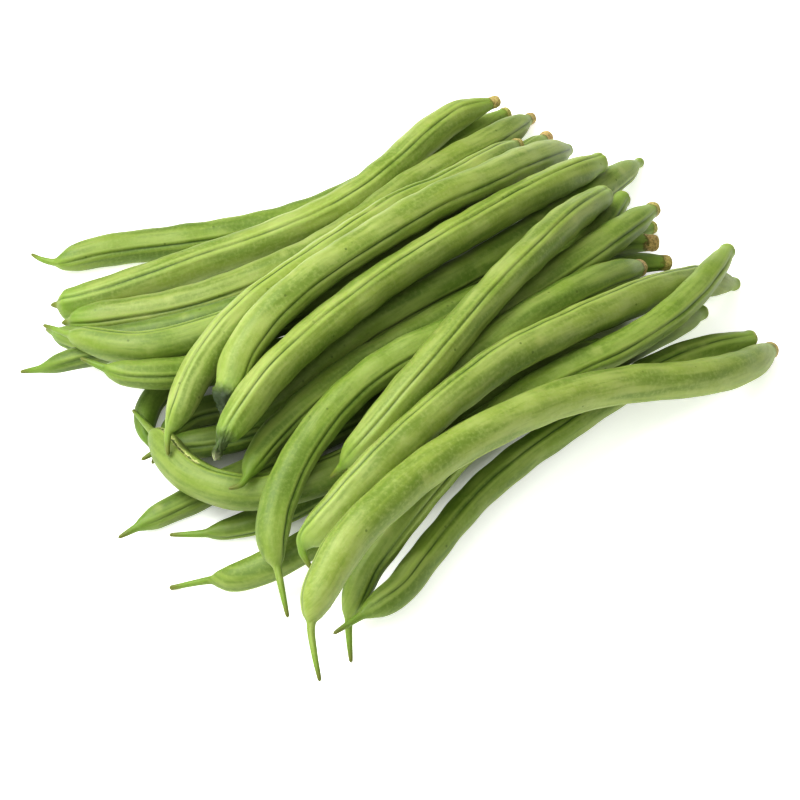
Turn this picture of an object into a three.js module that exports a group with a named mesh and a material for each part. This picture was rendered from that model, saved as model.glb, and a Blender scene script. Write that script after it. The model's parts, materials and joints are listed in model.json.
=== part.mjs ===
// A loose bundle of fresh green beans, lying on each other on a flat surface.
// Millimetres, +Z up. The pods lie roughly along X, stem ends at +X and beaks at -X.
import * as THREE from "three";

// Driving dimensions of every pod
const SCAR_SHARE = 0.9; // radius of the torn end where the pod hung, as a share of the stem's radius
const SCAR_CROWN = 0.5; // how far the middle of the scar stands out
const BEAK_BASE_RADIUS = 1.1;
const BEAK_TIP_RADIUS = 0.5;
const BEAK_POINT = 0.5; // length of the last point of the beak
const GROOVE_SHARE = 0.88; // radius in the suture groove, as a share of the pod's radius
const SHOULDER_SHARE = 0.97; // radius halfway round, where a pod is slightly flat

// How a pod swells from its stem end, and how it narrows towards the base of its beak
const STEM_STATIONS = [
  { at: 2.5, swell: 0 },
  { at: 7, swell: 0.4 },
  { at: 13, swell: 0.75 },
  { at: 23, swell: 0.95 },
];
const TIP_STATIONS = [
  { before: 20, share: 1 },
  { before: 11, share: 0.95 },
  { before: 5.5, share: 0.8 },
  { before: 2, share: 0.52 },
];
const BODY_RINGS = 6; // evenly spaced between the last stem station and the first tip station
const SIDES = 10;

// How the pods lie
const POD_GAP = 0.2; // air left between two pods that lie on each other
const SAMPLE_STEP = 1.2; // spacing of the samples along a pod's axis
const TOUCHING = 0.4; // a place that comes this close to what lies below carries the pod
const DROOP_RADIUS = 110; // a free end beyond the last such place droops on at least this radius
const MOST_RISE = 30; // from the stem end to the beak, or the other way
const RISE_STEP = 1;
const MOST_BOW = 12; // height of the middle over the ends, or the other way
const BOW_STEP = 1;
const SETTLING_ROUNDS = 4;
const FIRST_HEIGHT = 8;
const GROUND_SHARE = Math.cos(Math.PI / SIDES); // a flat side's distance from the axis over a corner's
const FLAT_BELOW = 0.35; // a corner that comes this close to the ground lies flat on it

// The view that the routes below are given in, as places in an 800 by 800 picture
const DEGREE = Math.PI / 180;
const VIEW_AZIMUTH = -45 * DEGREE;
const VIEW_ELEVATION = 50 * DEGREE;
const VIEW_DISTANCE = 600;
const VIEW_SCALE = 4; // picture units in a millimetre at the aim point
const VIEW_CENTRE = 400;
const VIEW_AIM = new THREE.Vector3(0, 0, 10);

// Skin colours, from pods in full light to pods low in the heap
const SKINS = {
  bright: 0x9ab84f,
  mid: 0x83a743,
  deep: 0x6c9036,
};
const SKIN_ROUGHNESS = 0.48;

// The pods from the bottom and back of the heap to the top and front. A route runs from the stem scar to
// the point of the beak. Girth is the pod's thickness, stem the radius of its stem end and beak the
// beak's length, in millimetres. Groove is the angle of the suture, in degrees from the top of the pod
// towards the front of the heap. A pod with a taper under 1 narrows more bluntly towards its beak.
const PODS = [
  { girth: 8.9, stem: 2.0, beak: 8, groove: 54, skin: "mid",
    route: [[507, 113], [440, 150], [350, 197], [270, 226], [200, 238], [150, 245], [110, 250], [80, 257],
      [62, 262], [46, 261], [31, 254]] },
  { girth: 9.7, stem: 1.8, beak: 2, groove: 21, taper: 0.45, skin: "bright",
    route: [[497, 101], [452, 118], [400, 162], [350, 201], [300, 227], [250, 246], [210, 259], [143, 283],
      [93, 299], [70, 304], [50, 305]] },
  { girth: 9.3, stem: 1.8, beak: 2, groove: 38, taper: 0.7, skin: "bright",
    route: [[531, 118], [490, 143], [450, 164], [400, 195], [350, 232], [300, 260], [270, 274], [235, 288],
      [200, 300], [143, 312], [100, 319], [61, 323]] },
  { girth: 7.6, stem: 2.0, beak: 4, groove: 90, skin: "deep",
    route: [[485, 185], [400, 229], [300, 287], [200, 322], [150, 333], [90, 341], [60, 335], [46, 329]] },
  { girth: 6.4, stem: 1.8, beak: 6, groove: 54, skin: "deep",
    route: [[500, 212], [400, 265], [300, 316], [220, 340], [150, 344], [100, 352], [57, 364], [45, 368],
      [20, 372]] },
  { girth: 8.3, stem: 1.9, beak: 9, groove: -25, skin: "mid",
    route: [[547, 137], [525, 155], [470, 200], [400, 247], [330, 286], [270, 311], [220, 328], [180, 342],
      [140, 347], [110, 345], [88, 340], [43, 325]] },
  { girth: 6.8, stem: 1.8, beak: 4, groove: 90, skin: "deep",
    route: [[530, 240], [450, 285], [360, 332], [280, 360], [215, 372], [178, 380], [157, 394], [147, 412],
      [146, 435], [157, 453]] },
  { girth: 8.2, stem: 2.0, beak: 7, groove: 54, skin: "mid",
    route: [[613, 215], [560, 232], [500, 256], [440, 285], [370, 322], [300, 348], [240, 364], [185, 372],
      [150, 374], [115, 371], [80, 358]] },
  { girth: 7.8, stem: 2.0, beak: 6, groove: 54, skin: "deep",
    route: [[653, 227], [600, 244], [540, 268], [480, 300], [400, 345], [320, 382], [260, 400], [205, 411],
      [180, 422], [165, 440], [152, 464]] },
  { girth: 8.1, stem: 2.4, beak: 6, groove: 54, skin: "deep",
    route: [[656, 243], [625, 243], [590, 258], [540, 280], [470, 316], [400, 352], [340, 385], [290, 414],
      [230, 438], [190, 444], [166, 447], [141, 460]] },
  { girth: 7.3, stem: 1.9, beak: 5, groove: 54, skin: "deep",
    route: [[572, 312], [500, 347], [420, 388], [340, 428], [270, 462], [205, 493], [145, 523],
      [118, 538]] },
  { girth: 7.0, stem: 1.9, beak: 9, groove: 90, skin: "deep",
    route: [[600, 322], [540, 352], [480, 388], [400, 440], [340, 478], [290, 508], [240, 526], [208, 533],
      [169, 535]] },
  { girth: 7.0, stem: 2.2, beak: 5, groove: 90, skin: "deep",
    route: [[668, 263], [640, 263], [610, 270], [560, 296], [500, 330], [440, 368], [385, 408],
      [345, 442]] },
  { girth: 8.2, stem: 2.2, beak: 5, groove: 90, skin: "mid",
    route: [[715, 279], [660, 287], [600, 312], [540, 344], [480, 380], [420, 420], [375, 456],
      [352, 478]] },
  { girth: 9.2, stem: 2.0, beak: 13, groove: -20, skin: "mid",
    route: [[600, 345], [540, 372], [470, 405], [400, 440], [330, 473], [280, 489], [230, 490], [195, 478],
      [174, 460], [160, 440], [148, 427], [133, 410]] },
  { girth: 8.1, stem: 2.1, beak: 11, groove: 126, skin: "mid",
    route: [[702, 312], [650, 336], [580, 374], [510, 408], [450, 446], [400, 482], [350, 517], [300, 549],
      [265, 567], [235, 578], [212, 580], [169, 588]] },
  { girth: 8.8, stem: 2.2, beak: 6, groove: -15, skin: "bright",
    route: [[518, 145], [480, 168], [440, 190], [400, 207], [360, 232], [320, 258], [280, 285], [250, 308],
      [215, 345], [190, 385], [175, 420], [168, 433], [168, 456]] },
  { girth: 9.3, stem: 2.0, beak: 3, groove: 58, skin: "bright",
    route: [[567, 150], [520, 165], [480, 183], [440, 200], [400, 222], [360, 247], [320, 272], [290, 297],
      [262, 325], [240, 355], [230, 385], [224, 405], [229, 418]] },
  { girth: 8.6, stem: 1.4, beak: 5, groove: 80, skin: "mid",
    route: [[640, 162], [610, 182], [570, 208], [530, 233], [480, 264], [430, 290], [390, 313], [350, 338],
      [320, 362], [290, 390], [260, 415], [235, 440]] },
  { girth: 9.3, stem: 2.9, beak: 5, groove: 6, skin: "bright",
    route: [[600, 162], [560, 180], [520, 200], [480, 222], [440, 245], [400, 270], [360, 298], [320, 330],
      [290, 355], [262, 385], [240, 415], [226, 435], [214, 461]] },
  { girth: 7.8, stem: 2.5, beak: 6, groove: 54, skin: "mid",
    route: [[623, 198], [600, 228], [560, 258], [510, 285], [460, 308], [420, 330], [380, 352], [340, 378],
      [300, 410], [270, 440], [252, 465], [242, 484], [228, 489]] },
  { girth: 8.9, stem: 2.2, beak: 12, groove: 54, skin: "mid",
    route: [[654, 209], [620, 232], [580, 260], [540, 287], [490, 318], [440, 338], [400, 358], [360, 385],
      [325, 420], [298, 460], [280, 500], [272, 540], [277, 566], [282, 590], [288, 618]] },
  { girth: 8.1, stem: 2.4, beak: 6, groove: 90, skin: "mid",
    route: [[640, 268], [600, 279], [560, 298], [520, 322], [480, 352], [440, 385], [400, 420], [365, 455],
      [342, 484]] },
  { girth: 9.0, stem: 3.3, beak: 4, groove: 18, skin: "bright",
    route: [[603, 196], [570, 218], [530, 255], [490, 295], [460, 330], [430, 365], [400, 400], [375, 430],
      [350, 458], [330, 478]] },
  { girth: 9.1, stem: 1.9, beak: 5, groove: -5, skin: "bright",
    route: [[735, 284], [700, 282], [660, 290], [620, 305], [580, 322], [540, 340], [500, 362], [460, 392],
      [420, 425], [380, 462], [345, 502], [318, 530], [302, 548], [312, 570]] },
  { girth: 7.9, stem: 2.3, beak: 10, groove: 54, skin: "mid",
    route: [[728, 250], [715, 268], [690, 297], [660, 322], [620, 347], [580, 366], [540, 385], [500, 413],
      [460, 453], [428, 489], [408, 514], [387, 541], [368, 568], [354, 600], [349, 620], [351, 663]] },
  { girth: 8.0, stem: 2.3, beak: 8, groove: 18, skin: "mid",
    route: [[752, 338], [700, 351], [650, 372], [600, 403], [550, 438], [500, 474], [460, 514], [426, 556],
      [398, 591], [368, 611], [333, 634]] },
  { girth: 9.3, stem: 2.4, beak: 13, groove: 126, skin: "bright",
    route: [[771, 350], [740, 368], [700, 378], [650, 382], [600, 388], [560, 400], [520, 415], [480, 435],
      [440, 458], [400, 490], [370, 520], [345, 545], [325, 580], [315, 605], [311, 628], [320, 682]] },
];

// Turn a place in the picture into the point at a given height that is seen there
const viewBack = new THREE.Vector3(
  Math.sin(VIEW_AZIMUTH) * Math.cos(VIEW_ELEVATION),
  -Math.cos(VIEW_AZIMUTH) * Math.cos(VIEW_ELEVATION),
  Math.sin(VIEW_ELEVATION),
);
const viewRight = new THREE.Vector3(Math.cos(VIEW_AZIMUTH), Math.sin(VIEW_AZIMUTH), 0);
const viewUp = new THREE.Vector3().crossVectors(viewBack, viewRight);
const viewEye = VIEW_AIM.clone().addScaledVector(viewBack, VIEW_DISTANCE);

function pointSeenAt(place, height) {
  const ray = VIEW_AIM.clone()
    .addScaledVector(viewRight, (place.x - VIEW_CENTRE) / VIEW_SCALE)
    .addScaledVector(viewUp, (VIEW_CENTRE - place.y) / VIEW_SCALE)
    .sub(viewEye);
  const reach = (height - viewEye.z) / ray.z;
  return viewEye.clone().addScaledVector(ray, reach);
}

// The rings of a pod, as distances from its stem end with their radii
function podStations(pod, length) {
  const radius = pod.girth / 2;
  const beakBase = length - pod.beak;
  const stations = [{ at: 0, radius: SCAR_SHARE * pod.stem }];
  for (const { at, swell } of STEM_STATIONS) {
    stations.push({ at, radius: THREE.MathUtils.lerp(pod.stem, radius, swell) });
  }
  const bodyStart = STEM_STATIONS.at(-1).at;
  const taper = pod.taper ?? 1;
  const bodyEnd = beakBase - taper * TIP_STATIONS[0].before;
  for (let ring = 1; ring <= BODY_RINGS; ring += 1) {
    const at = bodyStart + ((bodyEnd - bodyStart) * ring) / (BODY_RINGS + 1);
    stations.push({ at, radius });
  }
  for (const { before, share } of TIP_STATIONS) {
    stations.push({ at: beakBase - taper * before, radius: share * radius });
  }
  stations.push({ at: beakBase, radius: BEAK_BASE_RADIUS });
  stations.push({ at: beakBase + pod.beak / 2, radius: (BEAK_BASE_RADIUS + BEAK_TIP_RADIUS) / 2 });
  stations.push({ at: length - BEAK_POINT, radius: BEAK_TIP_RADIUS });
  return stations;
}

function radiusAlong(stations, at) {
  const next = stations.findIndex((station) => station.at >= at);
  if (next === 0) {
    return stations[0].radius;
  }
  if (next < 0) {
    return stations.at(-1).radius;
  }
  const before = stations[next - 1];
  const after = stations[next];
  const share = (at - before.at) / (after.at - before.at);
  return THREE.MathUtils.lerp(before.radius, after.radius, share);
}

// Measure a pod's axis and set the radius of each sample from its distance along the axis
function measureAxis(pod, samples) {
  samples[0].at = 0;
  for (let index = 1; index < samples.length; index += 1) {
    const step = samples[index].point.distanceTo(samples[index - 1].point);
    samples[index].at = samples[index - 1].at + step;
  }
  const stations = podStations(pod, samples.at(-1).at);
  for (const sample of samples) {
    sample.radius = radiusAlong(stations, sample.at);
  }
}

// The lowest height at which a sample, kept on its line of sight, clears the ground and every pod laid
// before it
function restingHeight(sample, laid) {
  const sight = sample.point.clone().sub(viewEye);
  sight.divideScalar(sight.z);
  const sightSquared = sight.lengthSq();
  let height = sample.radius * GROUND_SHARE;
  for (const other of laid) {
    const reach = sample.radius + other.radius + POD_GAP;
    const apart = sample.point.clone().sub(other.point);
    const towards = apart.dot(sight);
    const spare = towards * towards - sightSquared * (apart.lengthSq() - reach * reach);
    if (spare > 0) {
      height = Math.max(height, sample.point.z + (Math.sqrt(spare) - towards) / sightSquared);
    }
  }
  return height;
}

// The gently bowed line over all resting heights that lies closest to them
function closestLine(samples, floors) {
  const length = samples.at(-1).at;
  let best = { gap: Infinity };
  for (let rise = -MOST_RISE; rise <= MOST_RISE; rise += RISE_STEP) {
    for (let bow = -MOST_BOW; bow <= MOST_BOW; bow += BOW_STEP) {
      const shape = samples.map(({ at }) => {
        const share = (2 * at) / length - 1;
        return (rise * share) / 2 - bow * share * share;
      });
      const lift = Math.max(...floors.map((floor, index) => floor - shape[index]));
      const gap = floors.reduce((sum, floor, index) => sum + (lift + shape[index] - floor) ** 2, 0);
      if (gap < best.gap) {
        best = { gap, heights: shape.map((height) => lift + height) };
      }
    }
  }
  return best.heights;
}

// Let each free end droop, from the last place that carries the pod, until it touches what lies below
function droopEnds(samples, floors, line) {
  const carried = samples.filter((sample, index) => line[index] - floors[index] < TOUCHING);
  const heights = [...line];
  const ends = [
    { from: carried[0].at, to: 0 },
    { from: carried.at(-1).at, to: samples.at(-1).at },
  ];
  for (const { from, to } of ends) {
    const shape = samples.map(({ at }) => Math.max(0, (at - from) / (to - from || 1)) ** 2);
    let droop = (to - from) ** 2 / (2 * DROOP_RADIUS);
    shape.forEach((share, index) => {
      if (share > 0) {
        droop = Math.min(droop, (line[index] - floors[index]) / share);
      }
    });
    shape.forEach((share, index) => {
      heights[index] -= share * Math.max(0, droop);
    });
  }
  return heights;
}

// Lay a pod on the heap: its route fixes where it is seen, and its weight how high it lies
function layPod(pod, laid) {
  const corners = pod.route.map(([across, down]) => new THREE.Vector3(across, down, 0));
  const route = new THREE.CatmullRomCurve3(corners, false, "centripetal");
  const places = route.getSpacedPoints(Math.ceil(route.getLength() / VIEW_SCALE / SAMPLE_STEP));
  const samples = places.map((place) => ({ point: pointSeenAt(place, FIRST_HEIGHT) }));
  for (let round = 0; round < SETTLING_ROUNDS; round += 1) {
    measureAxis(pod, samples);
    const floors = samples.map((sample) => restingHeight(sample, laid));
    const heights = droopEnds(samples, floors, closestLine(samples, floors));
    samples.forEach((sample, index) => {
      sample.point = pointSeenAt(places[index], heights[index]);
    });
  }
  measureAxis(pod, samples);
  return samples;
}

function axisPoint(samples, at) {
  const next = samples.findIndex((sample) => sample.at >= at);
  const after = next < 0 ? samples.length - 1 : Math.max(1, next);
  const step = samples[after].at - samples[after - 1].at;
  const share = THREE.MathUtils.clamp((at - samples[after - 1].at) / step, 0, 1);
  return samples[after - 1].point.clone().lerp(samples[after].point, share);
}

function axisDirection(samples, at) {
  const ahead = axisPoint(samples, at + SAMPLE_STEP);
  return ahead.sub(axisPoint(samples, at - SAMPLE_STEP)).normalize();
}

// The first corner holds the groove. A pod on the ground is turned a little, to lie on a flat side.
function grooveCorner(pod, samples) {
  const turned = (pod.groove * SIDES) / 360;
  const onGround = samples.some((sample) => sample.point.z < sample.radius);
  return onGround ? Math.round(turned - 0.5) + 0.5 : turned;
}

// The section of a pod: round, a little flat halfway, with a suture groove at its first corner
function cornerShare(corner) {
  if (corner === 0) {
    return GROOVE_SHARE;
  }
  const turn = (2 * Math.PI * corner) / SIDES;
  return THREE.MathUtils.lerp(1, SHOULDER_SHARE, Math.sin(turn) ** 2);
}

// One closed solid: a ring of corners at each station, with a point at the scar and one at the beak
function podGeometry(pod, samples) {
  const positions = [];
  const faces = [];
  const length = samples.at(-1).at;
  const stations = podStations(pod, length);
  const firstCorner = grooveCorner(pod, samples);
  const addPoint = ({ x, y, z }) => positions.push(x, y, z < FLAT_BELOW ? 0 : z);
  const start = axisPoint(samples, 0);
  addPoint(start.clone().addScaledVector(axisDirection(samples, 0), -SCAR_CROWN));
  for (const station of stations) {
    const centre = axisPoint(samples, station.at);
    const along = axisDirection(samples, station.at);
    const front = new THREE.Vector3(0, 0, 1).cross(along).normalize();
    const top = new THREE.Vector3().crossVectors(along, front);
    for (let corner = 0; corner < SIDES; corner += 1) {
      const turn = ((firstCorner + corner) * 2 * Math.PI) / SIDES;
      const radius = station.radius * cornerShare(corner);
      addPoint(centre.clone()
        .addScaledVector(top, radius * Math.cos(turn))
        .addScaledVector(front, radius * Math.sin(turn)));
    }
  }
  addPoint(axisPoint(samples, length));
  const lastRing = 1 + (stations.length - 1) * SIDES;
  const beakPoint = lastRing + SIDES;
  for (let corner = 0; corner < SIDES; corner += 1) {
    const next = (corner + 1) % SIDES;
    faces.push(0, 1 + corner, 1 + next);
    for (let ring = 1; ring < lastRing; ring += SIDES) {
      faces.push(ring + corner, ring + SIDES + corner, ring + next);
      faces.push(ring + next, ring + SIDES + corner, ring + SIDES + next);
    }
    faces.push(beakPoint, lastRing + next, lastRing + corner);
  }
  const geometry = new THREE.BufferGeometry();
  geometry.setAttribute("position", new THREE.Float32BufferAttribute(positions, 3));
  geometry.setIndex(faces);
  geometry.computeVertexNormals();
  return geometry;
}

function skinMaterial(skin) {
  return new THREE.MeshStandardMaterial({
    color: SKINS[skin],
    roughness: SKIN_ROUGHNESS,
    metalness: 0,
  });
}

// The bundle, with its origin on the ground under the middle of its box
const bundle = new THREE.Group();
const laid = [];
PODS.forEach((pod, index) => {
  const samples = layPod(pod, laid);
  const mesh = new THREE.Mesh(podGeometry(pod, samples), skinMaterial(pod.skin));
  mesh.name = `pod_${String(index + 1).padStart(2, "0")}`;
  bundle.add(mesh);
  laid.push(...samples);
});
const middle = new THREE.Box3().setFromObject(bundle).getCenter(new THREE.Vector3());
bundle.position.set(-middle.x, -middle.y, 0);

export default bundle;
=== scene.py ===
"""Looks for the green bean bundle: every pod gets a fine skin built on its CAD solid and a procedural
material, under soft studio light and from the photograph's angle. Metres, in the row frame."""

import json
import math
import random

import bpy
import numpy as np
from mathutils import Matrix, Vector


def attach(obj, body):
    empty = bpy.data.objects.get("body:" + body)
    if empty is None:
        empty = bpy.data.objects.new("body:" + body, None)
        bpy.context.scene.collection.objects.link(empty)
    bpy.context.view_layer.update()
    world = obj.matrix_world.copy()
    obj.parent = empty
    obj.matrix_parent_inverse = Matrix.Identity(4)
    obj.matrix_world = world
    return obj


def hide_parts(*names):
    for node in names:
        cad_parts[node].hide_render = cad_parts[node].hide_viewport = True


MM = 0.001
TURN = 2 * math.pi
TINY = 1e-12
PHASE_SPAN = 6.3  # random phases lie between 0 and this, about a full turn

# Fine rings along a pod, and its two ends
SIDES = 10  # corners of a ring of the CAD solid
MERGE_DIGITS = 7  # points of the CAD solid that agree to this many digits are one
STEP = 0.9 * MM
BEAK_STEP = 0.5 * MM
STEM_REACH = 4 * MM
STEM_RINGS = 9
BEAK_REACH = 16 * MM
BEAK_END_RADIUS = 0.3 * MM
SKIN_SHRINK = 0.08 * MM
THIN = 1.2 * MM  # no seam or swelling where a pod is this thin
FULL = 3.4 * MM  # all of it where a pod is this thick
SEED = 4100

# Angles round a pod from its suture: close together at both seams, even in between
NEAR_ANGLES = [0.05, 0.1, 0.16, 0.23, 0.31, 0.4, 0.5]
EVEN_ANGLES = np.linspace(0.62, 2.72, 16)
FAR_ANGLES = [2.84, 2.96, 3.06]
HALF_ROUND = np.concatenate([NEAR_ANGLES, EVEN_ANGLES, FAR_ANGLES])
AROUND = np.array([0, *HALF_ROUND, math.pi, *-HALF_ROUND[::-1]])

# Suture: a thin groove between two low rims, and a fainter seam on the other side
GROOVE_DEPTH = 0.22 * MM
GROOVE_HALF_WIDTH = 0.32 * MM
RIM_HEIGHT = 0.11 * MM
RIM_DISTANCE = 1.0 * MM
RIM_WIDTH = 0.6 * MM
BACK_SEAM_SHARE = 0.5
FAR_FROM_SEAM = 9 * MM  # stored at both ends, where no back seam shows
# Shallow furrows beside the suture, each deeper and shallower by turns along the pod: place and depth
FURROWS = [(2.3 * MM, 0.13 * MM), (-2.5 * MM, 0.12 * MM), (4.3 * MM, 0.09 * MM), (-4.5 * MM, 0.09 * MM)]
FURROW_HALF_WIDTH = 0.6 * MM
FURROW_LENGTH = 38 * MM
FURROW_SPREAD = (0.7, 1.3)
# Swellings over the seeds, lower at the seams than on the flanks, and long uneven waves
SEED_SPACING = 10.5 * MM
SEED_SPREAD = (0.92, 1.08)
SEED_SWELL = 0.09 * MM
SEED_SHARE_AT_SEAM = 0.45
WAVE_LENGTH = 46 * MM
WAVE_HEIGHT = 0.1 * MM
WAVE_ORDERS = 4  # each wave is shorter and lower than the one before it
WAVE_TWISTS = [0, 1, -1, 2]

# Torn stem end: a low collar, and rings of the scar from its middle to its edge as shares of the radius,
# with how far each stands out
COLLAR_AT = 0.9 * MM
COLLAR_WIDTH = 0.7 * MM
COLLAR_HEIGHT = 0.18 * MM
SCAR_RINGS = [(0.12, 0.42 * MM), (0.35, 0.46 * MM), (0.58, 0.38 * MM), (0.78, 0.34 * MM), (0.92, 0.2 * MM)]
SCAR_ROUGHNESS = 0.4 * MM
SCAR_EDGE = (0.5 * MM, 3.8 * MM)  # how far the scar reaches along a pale green and a dry brown end

# How dry and brown each torn end is, from 0 for a pale green one to 1. The others are pale.
SCAR_TONES = {
    "pod_01": 0.45, "pod_02": 0.8, "pod_03": 0.85, "pod_04": 0.8, "pod_06": 1.0, "pod_09": 0.4,
    "pod_10": 1.0, "pod_13": 0.75, "pod_17": 0.7, "pod_22": 0.65, "pod_23": 1.0, "pod_28": 0.75,
}
PALE_TONE = 0.1
# Pods with the withered grey flower left on their beak, and how strongly it shows
WITHERED = {"pod_18": 1.0, "pod_20": 0.75}
WITHERED_FROM = 9 * MM  # its crumbs start and stand out fully at these distances from the tip
WITHERED_FULL = 6 * MM
CRUMB_HEIGHT = 1.1 * MM
# The pod that splits along its suture, between these distances from the tip
SPLIT_POD = "pod_15"
SPLIT_FROM = 14 * MM
SPLIT_TO = 36 * MM

# Colours as 0 to 255 values: a skin's middle colour, its light patches and its dark streaks. The three
# skins are lighter and darker copies of one green, given to the pods partly for their own differing green
# and partly as painted light and shade where a pod lies more or less in the light
SKIN_COLOURS = {
    "skin_bright": ((146, 163, 78), (170, 182, 112), (108, 132, 48)),
    "skin_mid": ((130, 151, 65), (153, 168, 95), (94, 120, 41)),
    "skin_deep": ((112, 134, 56), (136, 153, 80), (80, 105, 36)),
}
RIM_COLOUR = (170, 188, 100)
# The dark line of both seams, also used as painted shade in the slit of the opened pod
LINE_AND_SLIT_SHADE_COLOUR = (66, 92, 28)
SPOT_COLOUR = (92, 110, 40)
SCUFF_COLOUR = (176, 184, 112)
NECK_COLOUR = (158, 184, 88)
BEAK_COLOUR = (120, 154, 52)
TIP_COLOUR = (112, 112, 50)
SCAR_PALE = (178, 192, 104)
SCAR_BROWN = (208, 184, 124)
SCAR_DARK = (112, 90, 50)
WITHERED_COLOUR = (70, 84, 56)
WITHERED_TIP = (168, 172, 140)
SPLIT_COLOUR = (190, 194, 130)

# Noise patterns as scale, detail and roughness. Clouds, fibres and tatters lie in the object's metres, and
# the others in millimetres along and round a pod. Streaks, bands, wander and breaks are stretched along it.
CLOUDS = (85, 3, 0.5)
STREAKS = (0.9, 3, 0.6)
MOTTLE = (1.1, 3, 0.55)
BANDS = (0.32, 2, 0.5)
WANDER = (0.55, 2, 0.5)
BREAKS = (0.5, 3, 0.5)
FRAY = (0.8, 4, 0.65)
CRUMBS = (0.9, 3, 0.6)
FIBRES = (1800, 3, 0.7)
TATTERS = (900, 3, 0.7)
GRAIN = (3.2, 3, 0.6)
STREAK_STRETCH = 0.12
STRETCHED_GAP = 7.3  # how far apart the patterns of two pods lie
EVEN_GAP = 11.7
# How a pattern moves an edge: by its value times the first number, plus the second
WANDER_MOVE = (0.36, -0.18)
FRAY_MOVE = (2.4, -1.1)
TATTERS_MOVE = (1.2, -0.6)
SPOT_SCALE = 0.33
SCUFF_SCALE = 0.16
SCUFF_BEND_SCALE = 0.8

# Ramps over a pattern or a length in millimetres: its low and high end, and the share at each
CLOUDS_SHOW = (0.35, 0.68, 0, 0.7)
BANDS_SHOW = (0.42, 0.66, 0, 0.7)
STREAKS_SHOW = (0.45, 0.75, 0, 0.45)
MOTTLE_SHOW = (0.4, 0.75, 0, 0.4)
BREAKS_SHOW = (0.35, 0.6, 0.25, 0.9)
LINE_SHOW = (0.02, 0.36, 1, 0)
RIM_SHOW = (0.1, 0.6, 0.4, 0)
RIM_PLACE = 0.95
BACK_LINE_SHOW = (0.1, 0.5, 0.5, 0)
SPOT_CHOICE = (0.78, 0.82, 0, 1)
SPOT_SHOW = (0.05, 0.16, 0.75, 0)
SCUFF_CHOICE = (0.8, 0.84, 0, 1)
SCUFF_SHOW = (0.1, 0.34, 0.4, 0)
NECK_SHOW = (1, 13, 0.5, 0)
BEAK_SHOW = (3, 15, 0.55, 0)
TIP_SHOW = (0.3, 5, 0.8, 0)
SPLIT_SHOW = (0.5, 0.8, 1, 0)
# Painted shade in the slit of the opened pod
SPLIT_SLIT_SHADE = (0.1, 0.4, 0.9, 0)
CRUMBS_SHOW = (5.5, 9, 1, 0)
CRUMBS_PALE = (0.3, 2.5, 1, 0)
FIBRES_SHOW = (0.45, 0.65, 0, 0.6)
SCAR_RIM_SHOW = (0.3, 0.45, 0, 0.75)
SCAR_SHOW = (0.5, 0.62, 0, 1)
ROUGHNESS = (0.3, 0.7, 0.40, 0.54)

# Surface: lighter and darker pods, how dull the scar is, light inside the skin, and fine relief
TONE_SPREAD = 0.07
SCAR_DULLNESS = 0.3
SHINE = 0.42
INNER_LIGHT = 0.12
INNER_RADIUS = (0.5, 1.0, 0.2)
INNER_SCALE = 1.2 * MM
GRAIN_RELIEF = 0.5
STREAK_RELIEF = 0.7
SCUFF_RELIEF = 0.6
TORN_RELIEF = 2.0
BUMP_HEIGHT = 0.12 * MM
BUMP_STRENGTH = 0.55

# The photograph's view: 4 picture units in a millimetre, 800 across, from 600 mm away
VIEW_AZIMUTH = math.radians(-45)
VIEW_ELEVATION = math.radians(50)
VIEW_DISTANCE = 600 * MM
SENSOR = 36
PICTURE = 800
VIEW_SCALE = 4
CLIP_RANGE = (0.01, 10)
# Where the middle of the picture lies in the row frame
VIEW_AIM = Vector((-17.593, -25.358, 10)) * MM

# Painted light: the floor glows a little though it is no lamp, except under the thick of the heap, where
# the glow ends as painted shade
FLOOR_SIZE = 6
FLOOR_DROP = 0.05 * MM
FLOOR_COLOUR = (0.8, 0.8, 0.8, 1)
FLOOR_ROUGHNESS = 0.9
FLOOR_SHINE = 0.1
FLOOR_GLOW = 0.6
GLOW_REACH = 150 * MM  # half width of the finely divided middle of the floor
GLOW_STEP = 3 * MM
COVER_STEP = 5 * MM  # spacing of the places along a pod that cover the floor under them
POD_REACH = 14 * MM
COVER_RANGE = (22, 29)  # counts of such places round a point of the floor between which its glow ends
CLEAR_PODS = {"pod_26", "pod_27"}  # these lie apart at the front, and the floor beside them stays bright
WHITE = (1, 1, 1, 1)
WORLD_STRENGTH = 0.28
CONTRAST_GAMMA = 0.78
# Name, place, width and power of each lamp
LIGHTS = [
    ("key", (-0.3, 0.6, 1.05), 1.1, 21.5),
    ("fill", (-0.6, -0.35, 1.0), 0.8, 7.5),
]

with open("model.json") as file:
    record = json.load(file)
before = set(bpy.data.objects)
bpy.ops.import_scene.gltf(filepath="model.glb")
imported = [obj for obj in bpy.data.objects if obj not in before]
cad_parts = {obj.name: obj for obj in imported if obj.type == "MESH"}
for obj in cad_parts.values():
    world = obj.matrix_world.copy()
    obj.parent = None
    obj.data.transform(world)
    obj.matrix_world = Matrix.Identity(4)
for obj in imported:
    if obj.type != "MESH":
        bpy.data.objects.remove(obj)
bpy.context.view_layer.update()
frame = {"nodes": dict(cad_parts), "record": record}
slots = {row["node"]: row["material_slot"] for row in frame["record"]["subparts"]}


def merged_mesh(node):
    """The CAD solid's points, merged where facets meet, and each point's neighbours."""
    mesh = frame["nodes"][node].data
    points, number, same = [], {}, []
    for vertex in mesh.vertices:
        key = tuple(round(c, MERGE_DIGITS) for c in vertex.co)
        if key not in number:
            number[key] = len(points)
            points.append(np.array(vertex.co))
        same.append(number[key])
    near = [set() for _ in points]
    for edge in mesh.edges:
        a, b = (same[v] for v in edge.vertices)
        if a != b:
            near[a].add(b)
            near[b].add(a)
    return np.array(points), near


def is_pole(point, near):
    """Whether a point's neighbours form one closed ring."""
    around = near[point]
    return len(around) == SIDES and all(len(near[n] & around) == 2 for n in around)


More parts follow.
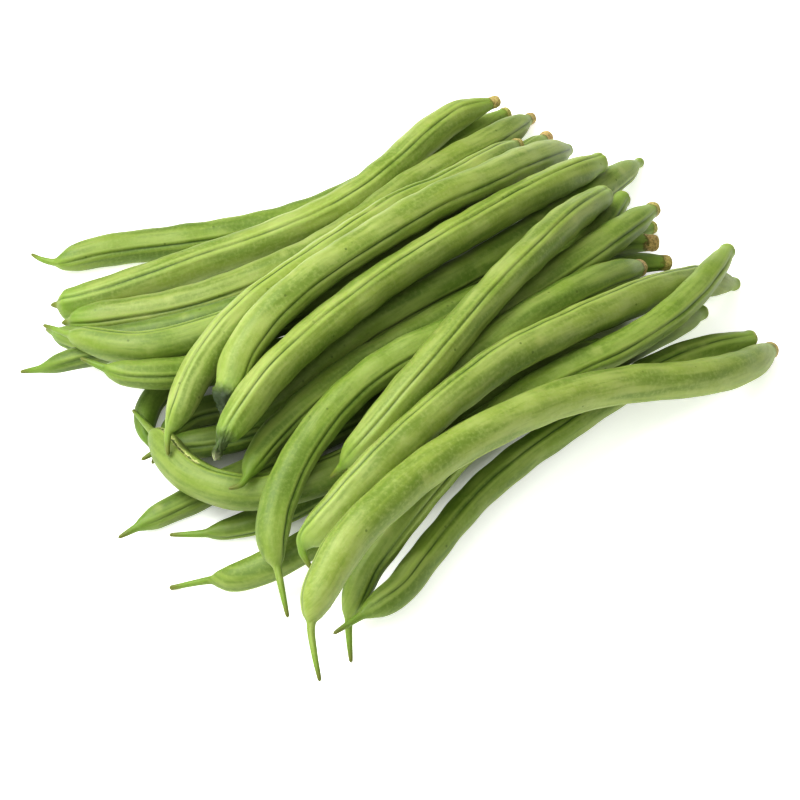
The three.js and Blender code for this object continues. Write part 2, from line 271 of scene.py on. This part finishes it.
def layers_from(pole, near):
    """Points in layers by how many edges they lie from a pole."""
    seen = {pole}
    layers = [[pole]]
    while layers[-1]:
        following = []
        for point in layers[-1]:
            for other in near[point]:
                if other not in seen:
                    seen.add(other)
                    following.append(other)
        layers.append(following)
    return layers[:-1]


def rings_of(node):
    """The CAD solid's rings from the stem scar to the beak: lists of points, the poles included."""
    points, near = merged_mesh(node)
    widest, rings = 0, []
    for pole in range(len(points)):
        if not is_pole(pole, near):
            continue
        layers = layers_from(pole, near)
        sizes = [len(layer) for layer in layers]
        if sizes[-1] == 1 and set(sizes[1:-1]) == {SIDES}:
            width = np.ptp(points[layers[1]], axis=0).max()
            if width > widest:
                widest = width
                rings = [points[layer] for layer in layers]
    return rings


class Track:
    """A smooth line through values at known distances, for centres and for radii."""

    def __init__(self, distances, values, steady=False):
        self.x = np.array(distances, float)
        self.y = np.array(values, float).reshape(len(self.x), -1)
        step = np.diff(self.x)[:, None]
        slope = np.diff(self.y, axis=0) / step
        inner = (slope[:-1] * step[1:] + slope[1:] * step[:-1]) / (step[1:] + step[:-1])
        if steady:
            product = slope[:-1] * slope[1:]
            total = slope[:-1] + slope[1:]
            level = np.where(np.abs(total) < TINY, 1, total)
            inner = np.where(product > 0, 2 * product / level, 0)
        self.slope = np.vstack([slope[:1], inner, slope[-1:]])

    def __call__(self, at):
        at = np.clip(np.atleast_1d(at), self.x[0], self.x[-1])
        i = np.clip(np.searchsorted(self.x, at) - 1, 0, len(self.x) - 2)
        step = (self.x[i + 1] - self.x[i])[:, None]
        t = (at[:, None] - self.x[i][:, None]) / step
        return (
            (1 + 2 * t) * (1 - t) ** 2 * self.y[i]
            + t * (1 - t) ** 2 * step * self.slope[i]
            + t * t * (3 - 2 * t) * self.y[i + 1]
            + t * t * (t - 1) * step * self.slope[i + 1]
        )


def unit(rows):
    return rows / np.linalg.norm(rows, axis=-1, keepdims=True)


def bell(distance, width):
    return np.exp(-((distance / width) ** 2))


def cross_frames(along):
    """The side facing the heap's front and the top side, for each direction along a pod."""
    front = unit(np.cross([0, 0, 1], along))
    return front, np.cross(along, front)


def pod_axis(node):
    """The CAD pod's centre line, radius, length and the angle of its suture."""
    layers = rings_of(node)
    circles = layers[1:-1]
    centres = np.array([ring.mean(axis=0) for ring in circles])
    points = np.vstack([centres, layers[-1]])
    distances = np.concatenate([[0], np.cumsum(np.linalg.norm(np.diff(points, axis=0), axis=1))])
    line = Track(distances, points)
    radii = [np.linalg.norm(ring - centre, axis=1).max() for ring, centre in zip(circles, centres)]
    radius = Track(distances, [*radii, BEAK_END_RADIUS], steady=True)
    ahead = line(distances[:-1] + STEP)
    along = unit(ahead - line(distances[:-1] - STEP))
    front, top = cross_frames(along)
    vote = np.zeros(2)
    for index, ring in enumerate(circles):
        spokes = ring - centres[index]
        reach = np.linalg.norm(spokes, axis=1)
        lowest = reach.argmin()
        spoke = spokes[lowest] / reach[lowest]
        vote += (np.median(reach) - reach[lowest]) * np.array([spoke @ top[index], spoke @ front[index]])
    return line, radius, distances[-1], math.atan2(vote[1], vote[0])


def ring_stations(length):
    """Distances of the fine rings from the stem end, closer together at both ends."""
    body_end = length - BEAK_REACH
    return np.concatenate([
        np.linspace(0, STEM_REACH, STEM_RINGS)[:-1],
        np.linspace(STEM_REACH, body_end, int((body_end - STEM_REACH) / STEP))[:-1],
        np.linspace(body_end, length - BEAK_STEP, int(BEAK_REACH / BEAK_STEP)),
    ])


def skin_relief(draw, at, arc, back_arc):
    """Heights over a smooth pod: seed swellings, long waves, both seams, the rims and the furrows."""
    phase = draw.uniform(0, TURN)
    seeds = np.cos(TURN * at / SEED_SPACING * draw.uniform(*SEED_SPREAD) + phase)
    flanks = SEED_SHARE_AT_SEAM + (1 - SEED_SHARE_AT_SEAM) * np.sin(AROUND) ** 2
    relief = SEED_SWELL * seeds * flanks
    for order in range(1, WAVE_ORDERS + 1):
        phase = draw.uniform(0, PHASE_SPAN)
        twist = AROUND * draw.choice(WAVE_TWISTS)
        relief = relief + WAVE_HEIGHT / order * np.sin(TURN * at / WAVE_LENGTH * order + phase + twist)
    relief = relief - GROOVE_DEPTH * bell(arc, GROOVE_HALF_WIDTH)
    relief = relief + RIM_HEIGHT * bell(np.abs(arc) - RIM_DISTANCE, RIM_WIDTH)
    relief = relief - BACK_SEAM_SHARE * GROOVE_DEPTH * bell(back_arc, GROOVE_HALF_WIDTH)
    for place, depth in FURROWS:
        stretch = draw.uniform(*FURROW_SPREAD)
        turns = np.sin(TURN * at / FURROW_LENGTH * stretch + draw.uniform(0, PHASE_SPAN))
        relief = relief - depth * (1 + turns) / 2 * bell(arc - place, FURROW_HALF_WIDTH)
    return relief


def withered_crumbs(draw, node, left):
    """Heights of the crumbs of a withered flower, for each distance from the tip."""
    spans = (BEAK_STEP, 2 * BEAK_STEP, WITHERED_FULL, WITHERED_FROM)
    crumbly = np.interp(left, spans, (0, 1, 1, 0))
    crumbs = np.array([[draw.random() ** 2 for _ in AROUND] for _ in left])
    return WITHERED[node] * CRUMB_HEIGHT * crumbly[:, None] * crumbs


def scar_points(draw, centre, ahead, spokes, reach):
    """The scar's points: its middle, then its rings from the middle to the edge."""
    points = [centre - ahead * SCAR_RINGS[0][1]]
    for share, height in SCAR_RINGS:
        rough = np.array([draw.uniform(-1, 1) for _ in AROUND]) * SCAR_ROUGHNESS * (1 - share)
        ring = centre + spokes * (reach * share)[:, None]
        points.extend(ring - ahead * (height + rough)[:, None])
    return points


def skin_faces(ring_count):
    """Faces over rings of points: a fan over each end, and squares in between."""
    count = len(AROUND)
    tip = 1 + ring_count * count
    faces = []
    for corner in range(count):
        following = (corner + 1) % count
        faces.append((0, 1 + following, 1 + corner))
        for low in range(1, tip - count, count):
            faces.append((low + corner, low + following, low + count + following, low + count + corner))
        low = tip - count
        faces.append((low + corner, low + following, tip))
    return faces


def over_pod(scar_value, skin_values, tip_value):
    """One value for each point of a pod, in the order of its points."""
    scar_values = np.full(1 + len(SCAR_RINGS) * len(AROUND), float(scar_value))
    rows = np.broadcast_to(skin_values, (len(skin_values), len(AROUND)))
    return np.concatenate([scar_values, rows.ravel(), [tip_value]])


def fine_pod(node, number, axis):
    """The pod's fine skin, with the values that its material reads stored on its points."""
    draw = random.Random(SEED + number)
    line, radius, length, groove = axis
    stations = ring_stations(length)
    centres = line(stations)
    along = unit(line(stations + STEP / 2) - line(stations - STEP / 2))
    front, top = cross_frames(along)
    at = stations[:, None]
    left = length - at
    sizes = radius(stations) - SKIN_SHRINK
    fullness = np.clip((sizes - THIN) / (FULL - THIN), 0, 1)
    arc = sizes * AROUND
    back_arc = sizes * (math.pi - np.abs(AROUND))
    reach = sizes + fullness * skin_relief(draw, at, arc, back_arc)
    reach = reach + COLLAR_HEIGHT * bell(at - COLLAR_AT, COLLAR_WIDTH)
    if node in WITHERED:
        reach = reach + withered_crumbs(draw, node, left[:, 0])
    turn = groove + AROUND[:, None]
    spokes = top[:, None, :] * np.cos(turn) + front[:, None, :] * np.sin(turn)
    skin = centres[:, None, :] + spokes * reach[..., None]
    scar = scar_points(draw, centres[0], along[0], spokes[0], reach[0])
    points = np.vstack([scar, skin.reshape(-1, 3), line(length)])
    points[:, 2] = np.maximum(points[:, 2], 0)

    scar_tone = SCAR_TONES.get(node, PALE_TONE)
    scar_reach = SCAR_EDGE[0] + scar_tone * (SCAR_EDGE[1] - SCAR_EDGE[0])
    opened = (node == SPLIT_POD) & (left > SPLIT_FROM) & (left < SPLIT_TO)
    values = {
        "at": over_pod(0, at, length) / MM,
        "left": over_pod(length, left, 0) / MM,
        "turned": over_pod(0, arc, 0) / MM,
        "backseam": over_pod(FAR_FROM_SEAM, back_arc, FAR_FROM_SEAM) / MM,
        "full": over_pod(0, fullness, 0),
        "scar": over_pod(1, bell(at, scar_reach), 0),
        "split": over_pod(0, opened, 0),
    }
    constants = {
        "tone": draw.uniform(-1, 1),
        "scar_tone": scar_tone,
        "withered": WITHERED.get(node, 0),
        "number": number,
    }
    for name, value in constants.items():
        values[name] = np.full(len(points), float(value))
    mesh = bpy.data.meshes.new(f"{node}_skin")
    mesh.from_pydata(points.tolist(), [], skin_faces(len(SCAR_RINGS) + len(stations)))
    mesh.polygons.foreach_set("use_smooth", [True] * len(mesh.polygons))
    for name, per_point in values.items():
        mesh.attributes.new(name, "FLOAT", "POINT").data.foreach_set("value", per_point.astype(np.float32))
    mesh.validate()
    return bpy.data.objects.new(f"{node}_skin", mesh)


def srgb(colour):
    """A colour as 0 to 255 values, turned into the linear values that shaders take."""
    shares = [value / 255 for value in colour]
    linear = [s / 12.92 if s <= 0.04045 else ((s + 0.055) / 1.055) ** 2.4 for s in shares]
    return (*linear, 1.0)


class Shader:
    """Short ways to add nodes to a material."""

    def __init__(self, name):
        self.material = bpy.data.materials.new(name)
        self.material.use_nodes = True
        self.tree = self.material.node_tree
        self.principled = self.tree.nodes["Principled BSDF"]

    def put(self, value, socket):
        """Link a socket's value, or set a plain one."""
        if isinstance(value, bpy.types.NodeSocket):
            self.tree.links.new(value, socket)
        else:
            socket.default_value = value

    def add(self, kind, numbered=(), **named):
        """A new node, with values for its inputs by number and by name."""
        node = self.tree.nodes.new(kind)
        for number, value in enumerate(numbered):
            self.put(value, node.inputs[number])
        for name, value in named.items():
            self.put(value, node.inputs[name])
        return node

    def attribute(self, name):
        node = self.add("ShaderNodeAttribute")
        node.attribute_name = name
        return node.outputs["Fac"]

    def maths(self, operation, *values):
        node = self.add("ShaderNodeMath", values)
        node.operation = operation
        return node.outputs[0]

    def times(self, a, b):
        return self.maths("MULTIPLY", a, b)

    def plus(self, a, b):
        return self.maths("ADD", a, b)

    def scaled(self, value, factor, shift):
        return self.maths("MULTIPLY_ADD", value, factor, shift)

    def ramp(self, value, low, high, at_low, at_high):
        node = self.add("ShaderNodeMapRange", Value=value)
        node.interpolation_type = "SMOOTHSTEP"
        ends = {"From Min": low, "From Max": high, "To Min": at_low, "To Max": at_high}
        for name, number in ends.items():
            node.inputs[name].default_value = number
        return node.outputs["Result"]

    def noise(self, vector, scale, detail, roughness):
        return self.add(
            "ShaderNodeTexNoise", Vector=vector, Scale=scale, Detail=detail, Roughness=roughness
        ).outputs["Fac"]

    def mix(self, share, below, above):
        node = self.add("ShaderNodeMix")
        node.data_type = "RGBA"
        for index, value in ((0, share), (6, below), (7, above)):
            self.put(value, node.inputs[index])
        return node.outputs[2]

    def cells(self, vector, scale, channel, choice, show):
        """Round marks in some of the cells of a pattern, chosen by one channel of the cells' colours."""
        pattern = self.add("ShaderNodeTexVoronoi", Vector=vector, Scale=scale)
        channels = self.add("ShaderNodeSeparateColor", Color=pattern.outputs["Color"])
        chosen = self.ramp(channels.outputs[channel], *choice)
        return self.times(self.ramp(pattern.outputs["Distance"], *show), chosen)


class SkinShader(Shader):
    """The material of a pod's skin. Its methods lay marks over the colour that is there so far."""

    def __init__(self, slot):
        super().__init__(f"bean_{slot}")
        self.middle, self.light, self.shade = (srgb(colour) for colour in SKIN_COLOURS[slot])
        self.place = self.add("ShaderNodeTexCoord").outputs["Object"]
        self.at = self.attribute("at")
        self.left = self.attribute("left")
        self.turned = self.attribute("turned")
        self.full = self.attribute("full")
        self.scar = self.attribute("scar")
        self.scar_tone = self.attribute("scar_tone")
        self.stretched = self.surface_place(self.times(self.at, STREAK_STRETCH), STRETCHED_GAP)
        self.even = self.surface_place(self.at, EVEN_GAP)
        wander = self.scaled(self.noise(self.stretched, *WANDER), *WANDER_MOVE)
        self.line = self.maths("ABSOLUTE", self.plus(self.turned, wander))
        self.streaks = self.noise(self.stretched, *STREAKS)
        self.mottle = self.noise(self.even, *MOTTLE)
        self.fibres = self.noise(self.place, *FIBRES)

        self.colour = self.middle
        self.patches()
        self.seams()
        self.spots_and_scuffs()
        self.ends()
        self.split()
        self.withered_flower()
        self.torn_scar()
        self.surface()

    def surface_place(self, along, gap):
        """Places round and along a pod, apart from those of the other pods."""
        apart = self.times(self.attribute("number"), gap)
        return self.add("ShaderNodeCombineXYZ", X=self.turned, Y=along, Z=apart).outputs[0]

    def lay(self, share, colour):
        self.colour = self.mix(share, self.colour, colour)

    def patches(self):
        self.lay(self.ramp(self.noise(self.place, *CLOUDS), *CLOUDS_SHOW), self.light)
        self.lay(self.ramp(self.noise(self.stretched, *BANDS), *BANDS_SHOW), self.shade)
        self.lay(self.ramp(self.streaks, *STREAKS_SHOW), self.shade)
        self.lay(self.ramp(self.mottle, *MOTTLE_SHOW), self.light)
        lift = self.scaled(self.attribute("tone"), TONE_SPREAD, 1.0)
        self.colour = self.add("ShaderNodeHueSaturation", Color=self.colour, Value=lift).outputs["Color"]

    def seams(self):
        """The suture's dark broken line between pale rims, and the fainter line of the back seam."""
        strength = self.ramp(self.noise(self.stretched, *BREAKS), *BREAKS_SHOW)
        from_rim = self.maths("ABSOLUTE", self.maths("SUBTRACT", self.line, RIM_PLACE))
        self.lay(self.times(self.ramp(from_rim, *RIM_SHOW), self.full), srgb(RIM_COLOUR))
        dark = self.times(self.ramp(self.line, *LINE_SHOW), self.times(strength, self.full))
        self.lay(dark, srgb(LINE_AND_SLIT_SHADE_COLOUR))
        back = self.ramp(self.attribute("backseam"), *BACK_LINE_SHOW)
        self.lay(self.times(back, self.full), srgb(LINE_AND_SLIT_SHADE_COLOUR))

    def spots_and_scuffs(self):
        self.lay(self.cells(self.even, SPOT_SCALE, 0, SPOT_CHOICE, SPOT_SHOW), srgb(SPOT_COLOUR))
        bend = self.add("ShaderNodeTexNoise", Vector=self.even, Scale=SCUFF_BEND_SCALE).outputs["Color"]
        bent = self.add("ShaderNodeVectorMath", (self.even, bend)).outputs[0]
        self.scuff = self.cells(bent, SCUFF_SCALE, 1, SCUFF_CHOICE, SCUFF_SHOW)
        self.lay(self.scuff, srgb(SCUFF_COLOUR))

    def ends(self):
        """The paler neck, the beak and its olive tip."""
        self.lay(self.ramp(self.at, *NECK_SHOW), srgb(NECK_COLOUR))
        self.lay(self.ramp(self.left, *BEAK_SHOW), srgb(BEAK_COLOUR))
        self.lay(self.ramp(self.left, *TIP_SHOW), srgb(TIP_COLOUR))

    def split(self):
        """The pod's pale inside where its suture has opened, with painted shade for the dark slit between
        its halves.
        """
        ragged = self.scaled(self.noise(self.even, *FRAY), *FRAY_MOVE)
        fray = self.plus(self.line, ragged)
        opened = self.times(self.ramp(fray, *SPLIT_SHOW), self.attribute("split"))
        self.lay(opened, srgb(SPLIT_COLOUR))
        # Painted shade: the dark slit down the middle of the opening
        self.lay(self.times(opened, self.ramp(fray, *SPLIT_SLIT_SHADE)), srgb(LINE_AND_SLIT_SHADE_COLOUR))

    def withered_flower(self):
        edge = self.plus(self.left, self.noise(self.even, *CRUMBS))
        self.crumbs = self.times(self.ramp(edge, *CRUMBS_SHOW), self.attribute("withered"))
        pale = self.ramp(self.left, *CRUMBS_PALE)
        self.lay(self.crumbs, self.mix(pale, srgb(WITHERED_COLOUR), srgb(WITHERED_TIP)))

    def torn_scar(self):
        """The scar at the stem end, pale green to dry brown, with a ragged darker rim."""
        torn = self.mix(self.scar_tone, srgb(SCAR_PALE), srgb(SCAR_BROWN))
        torn = self.mix(self.ramp(self.fibres, *FIBRES_SHOW), torn, srgb(SCAR_DARK))
        tatters = self.scaled(self.noise(self.place, *TATTERS), *TATTERS_MOVE)
        ragged = self.plus(self.scar, tatters)
        self.lay(self.times(self.ramp(ragged, *SCAR_RIM_SHOW), self.scar_tone), srgb(SCAR_DARK))
        self.lay(self.ramp(ragged, *SCAR_SHOW), torn)

    def surface(self):
        """Colour, gloss, a little light inside the skin, and fine relief."""
        rough_ends = self.times(self.fibres, self.maths("MAXIMUM", self.scar, self.crumbs))
        grain = self.noise(self.even, *GRAIN)
        height = self.plus(self.times(grain, GRAIN_RELIEF), self.times(self.streaks, STREAK_RELIEF))
        height = self.plus(height, self.times(self.scuff, SCUFF_RELIEF))
        height = self.plus(height, self.times(rough_ends, TORN_RELIEF))
        bump = self.add("ShaderNodeBump", Height=height, Distance=BUMP_HEIGHT, Strength=BUMP_STRENGTH)
        dullness = self.times(self.scar, SCAR_DULLNESS)
        settings = {
            "Base Color": self.colour,
            "Roughness": self.plus(self.ramp(self.mottle, *ROUGHNESS), dullness),
            "Specular IOR Level": SHINE,
            "Subsurface Weight": INNER_LIGHT,
            "Subsurface Radius": INNER_RADIUS,
            "Subsurface Scale": INNER_SCALE,
            "Normal": bump.outputs[0],
        }
        for name, value in settings.items():
            self.put(value, self.principled.inputs[name])


def glow_at(across, deep, axes):
    """The floor's painted glow at each of its points, which ends where many pods lie over and round it, as
    painted shade under the heap.
    """
    cover = np.zeros(len(across))
    for node, (line, _, length, _) in axes.items():
        if node in CLEAR_PODS:
            continue
        for x, y, _ in line(np.arange(0, length, COVER_STEP)):
            cover += bell(np.hypot(across - x, deep - y), POD_REACH)
    return FLOOR_GLOW * np.interp(cover, COVER_RANGE, (1, 0))


def glowing_floor(axes):
    middle = np.arange(-GLOW_REACH, GLOW_REACH + GLOW_STEP / 2, GLOW_STEP)
    lines = np.array([-FLOOR_SIZE / 2, *middle, FLOOR_SIZE / 2])
    across, deep = (grid.ravel() for grid in np.meshgrid(lines, lines))
    count = len(lines)
    corners = [row * count + column for row in range(count - 1) for column in range(count - 1)]
    mesh = bpy.data.meshes.new("floor")
    points = list(zip(across, deep, np.zeros(len(across))))
    mesh.from_pydata(points, [], [(c, c + 1, c + count + 1, c + count) for c in corners])
    glow = glow_at(across, deep, axes).astype(np.float32)
    mesh.attributes.new("glow", "FLOAT", "POINT").data.foreach_set("value", glow)
    # Painted light: the floor glows by its glow attribute, and the glow ends under the heap as painted
    # shade
    glowing_paper = Shader("pale_floor_painted_glow")
    settings = {
        "Base Color": FLOOR_COLOUR,
        "Roughness": FLOOR_ROUGHNESS,
        "Specular IOR Level": FLOOR_SHINE,
        "Emission Color": WHITE,
        "Emission Strength": glowing_paper.attribute("glow"),
    }
    for name, value in settings.items():
        glowing_paper.put(value, glowing_paper.principled.inputs[name])
    mesh.materials.append(glowing_paper.material)
    floor = bpy.data.objects.new("floor", mesh)
    floor.location.z = -FLOOR_DROP
    return floor


def soft_world():
    world = bpy.data.worlds.new("studio")
    world.use_nodes = True
    background = world.node_tree.nodes["Background"]
    background.inputs["Color"].default_value = WHITE
    background.inputs["Strength"].default_value = WORLD_STRENGTH
    return world


def soft_light(name, place, size, power):
    data = bpy.data.lights.new(name, "AREA")
    data.shape = "DISK"
    data.size = size
    data.energy = power
    lamp = bpy.data.objects.new(name, data)
    lamp.location = place
    lamp.rotation_euler = (-Vector(place)).to_track_quat("-Z", "Y").to_euler()
    return lamp


def photo_camera():
    back = Vector((
        math.sin(VIEW_AZIMUTH) * math.cos(VIEW_ELEVATION),
        -math.cos(VIEW_AZIMUTH) * math.cos(VIEW_ELEVATION),
        math.sin(VIEW_ELEVATION),
    ))
    data = bpy.data.cameras.new("camera")
    data.sensor_width = SENSOR
    data.lens = SENSOR * VIEW_SCALE / MM * VIEW_DISTANCE / PICTURE
    data.clip_start, data.clip_end = CLIP_RANGE
    camera = bpy.data.objects.new("camera", data)
    camera.location = VIEW_AIM + back * VIEW_DISTANCE
    camera.rotation_euler = (-back).to_track_quat("-Z", "Y").to_euler()
    return camera


scene = bpy.context.scene
materials = {slot: SkinShader(slot).material for slot in SKIN_COLOURS}
axes = {node: pod_axis(node) for node in sorted(frame["nodes"])}
for number, node in enumerate(axes, start=1):
    piece = fine_pod(node, number, axes[node])
    scene.collection.objects.link(piece)
    piece.data.materials.append(materials[slots[node]])
    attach(piece, "root")
    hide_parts(node)

floor = glowing_floor(axes)
scene.collection.objects.link(floor)

for light in LIGHTS:
    scene.collection.objects.link(soft_light(*light))
scene.world = soft_world()
scene.view_settings.view_transform = "Standard"
scene.view_settings.gamma = CONTRAST_GAMMA
camera = photo_camera()
scene.collection.objects.link(camera)
bpy.context.scene.camera = camera

bpy.context.view_layer.update()
